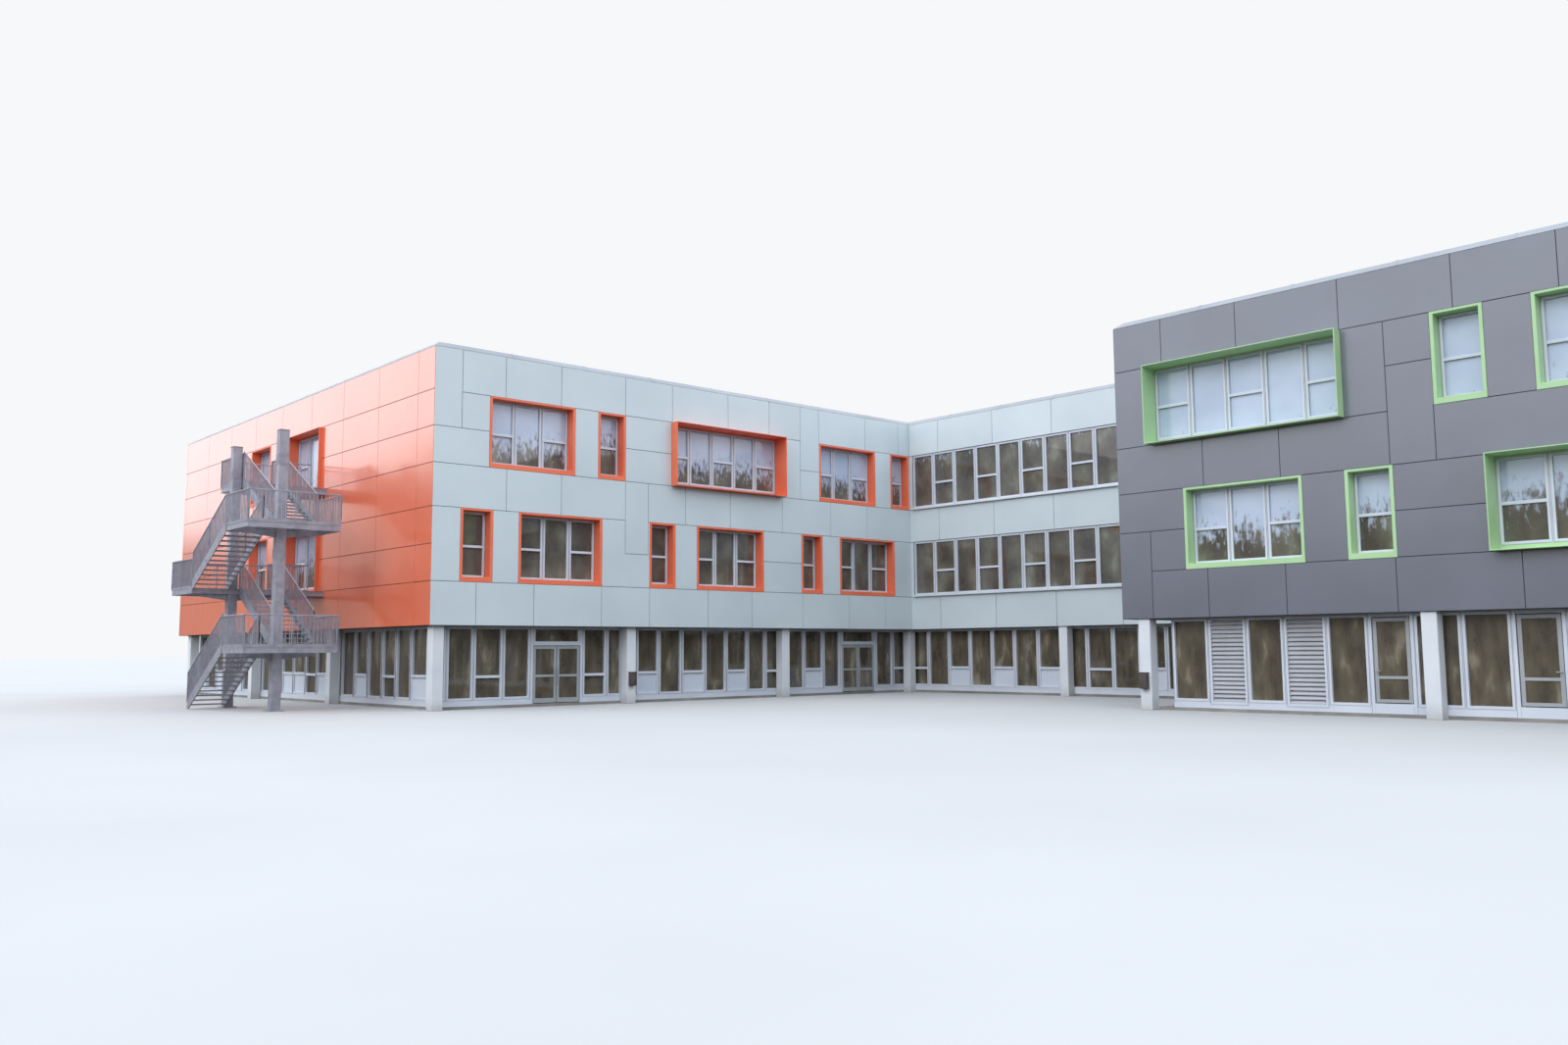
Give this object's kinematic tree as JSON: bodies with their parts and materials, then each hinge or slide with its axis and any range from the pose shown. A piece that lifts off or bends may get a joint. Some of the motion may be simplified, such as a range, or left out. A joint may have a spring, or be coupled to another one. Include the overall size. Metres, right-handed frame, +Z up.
{
  "type": "school building, scale model 1:2",
  "caption": "Three-storey school building at half scale with joined wings, a glazed ground floor behind columns, panel cladding, framed windows, double doors and an outside steel stair.",
  "frame": {"origin": "middle of the foot of the column at the corner between the pale front and the orange end wall, at ground level", "axes": "+X along the pale front from the orange end, +Y along the orange end wall away from the front, +Z up"},
  "size_m": [22.097, 34.519, 6.172],
  "materials": {
    "concrete": "cast concrete",
    "column_render": "smooth white render",
    "pale_cladding": "satin pale grey green panels",
    "orange_cladding": "glossy orange panels",
    "dark_cladding": "satin dark grey panels",
    "coping_metal": "light grey folded sheet",
    "orange_lining": "orange sheet",
    "green_lining": "green sheet",
    "frame_grey": "grey powder coat",
    "glass": "clear glass",
    "sill_metal": "pale folded sheet",
    "white_panel": "flat white panel",
    "louvre_metal": "grey blades",
    "galvanised_steel": "galvanised",
    "bin_metal": "dark grey paint"
  },
  "bodies": {
    "building": {"ground_slab": "concrete", "first_floor_slab": "concrete", "second_floor_slab": "concrete", "roof_slab": "concrete", "inner_columns": "concrete", "edge_beams": "concrete", "outer_columns": "column_render", "pale_front_wall": "pale_cladding", "link_front_wall": "pale_cladding", "rear_walls": "pale_cladding", "orange_end_wall": "orange_cladding", "dark_return_wall": "dark_cladding", "dark_front_wall": "dark_cladding", "roof_coping": "coping_metal", "pale_wing_window_surrounds": "orange_lining", "dark_wing_window_surrounds": "green_lining", "pale_wing_window_frames": "frame_grey", "dark_wing_window_frames": "frame_grey", "link_window_frames": "frame_grey", "pale_ground_glazing_frames": "frame_grey", "link_ground_glazing_frames": "frame_grey", "dark_ground_glazing_frames": "frame_grey", "window_glass": "glass", "ground_floor_glass": "glass", "link_window_sills": "sill_metal", "ground_floor_panels": "white_panel", "ground_floor_louvres": "louvre_metal", "stair_posts": "galvanised_steel", "stair_landings": "galvanised_steel", "stair_stringers": "galvanised_steel", "stair_treads": "galvanised_steel", "stair_landing_rails": "galvanised_steel", "stair_flight_rails": "galvanised_steel", "column_bins": "bin_metal"},
    "main_door_left": {"main_door_left_leaf": "frame_grey", "main_door_left_glass": "glass"},
    "main_door_right": {"main_door_right_leaf": "frame_grey", "main_door_right_glass": "glass"},
    "side_door_left": {"side_door_left_leaf": "frame_grey", "side_door_left_glass": "glass"},
    "side_door_right": {"side_door_right_leaf": "frame_grey", "side_door_right_glass": "glass"},
    "first_terrace_door": {"first_terrace_door_leaf": "frame_grey", "first_terrace_door_glass": "glass"},
    "second_terrace_door": {"second_terrace_door_leaf": "frame_grey", "second_terrace_door_glass": "glass"}
  },
  "joints": [
    {"name": "main_door_left_hinge", "type": "hinge", "parent": "building", "child": "main_door_left", "pos_m": [1.939, 0.14, 0.55], "axis": [0, 0, -1], "range_deg": [0, 90]},
    {"name": "main_door_right_hinge", "type": "hinge", "parent": "building", "child": "main_door_right", "pos_m": [2.853, 0.14, 0.55], "axis": [0, 0, 1], "range_deg": [0, 90]},
    {"name": "side_door_left_hinge", "type": "hinge", "parent": "building", "child": "side_door_left", "pos_m": [9.574, 0.14, 0.55], "axis": [0, 0, -1], "range_deg": [0, 90]},
    {"name": "side_door_right_hinge", "type": "hinge", "parent": "building", "child": "side_door_right", "pos_m": [10.52, 0.14, 0.55], "axis": [0, 0, 1], "range_deg": [0, 90]},
    {"name": "first_terrace_door_hinge", "type": "hinge", "parent": "building", "child": "first_terrace_door", "pos_m": [7.86, -12.397, 0.7], "axis": [0, 0, -1], "range_deg": [0, 90]},
    {"name": "second_terrace_door_hinge", "type": "hinge", "parent": "building", "child": "second_terrace_door", "pos_m": [7.86, -13.743, 0.7], "axis": [0, 0, 1], "range_deg": [0, 90]}
  ]
}
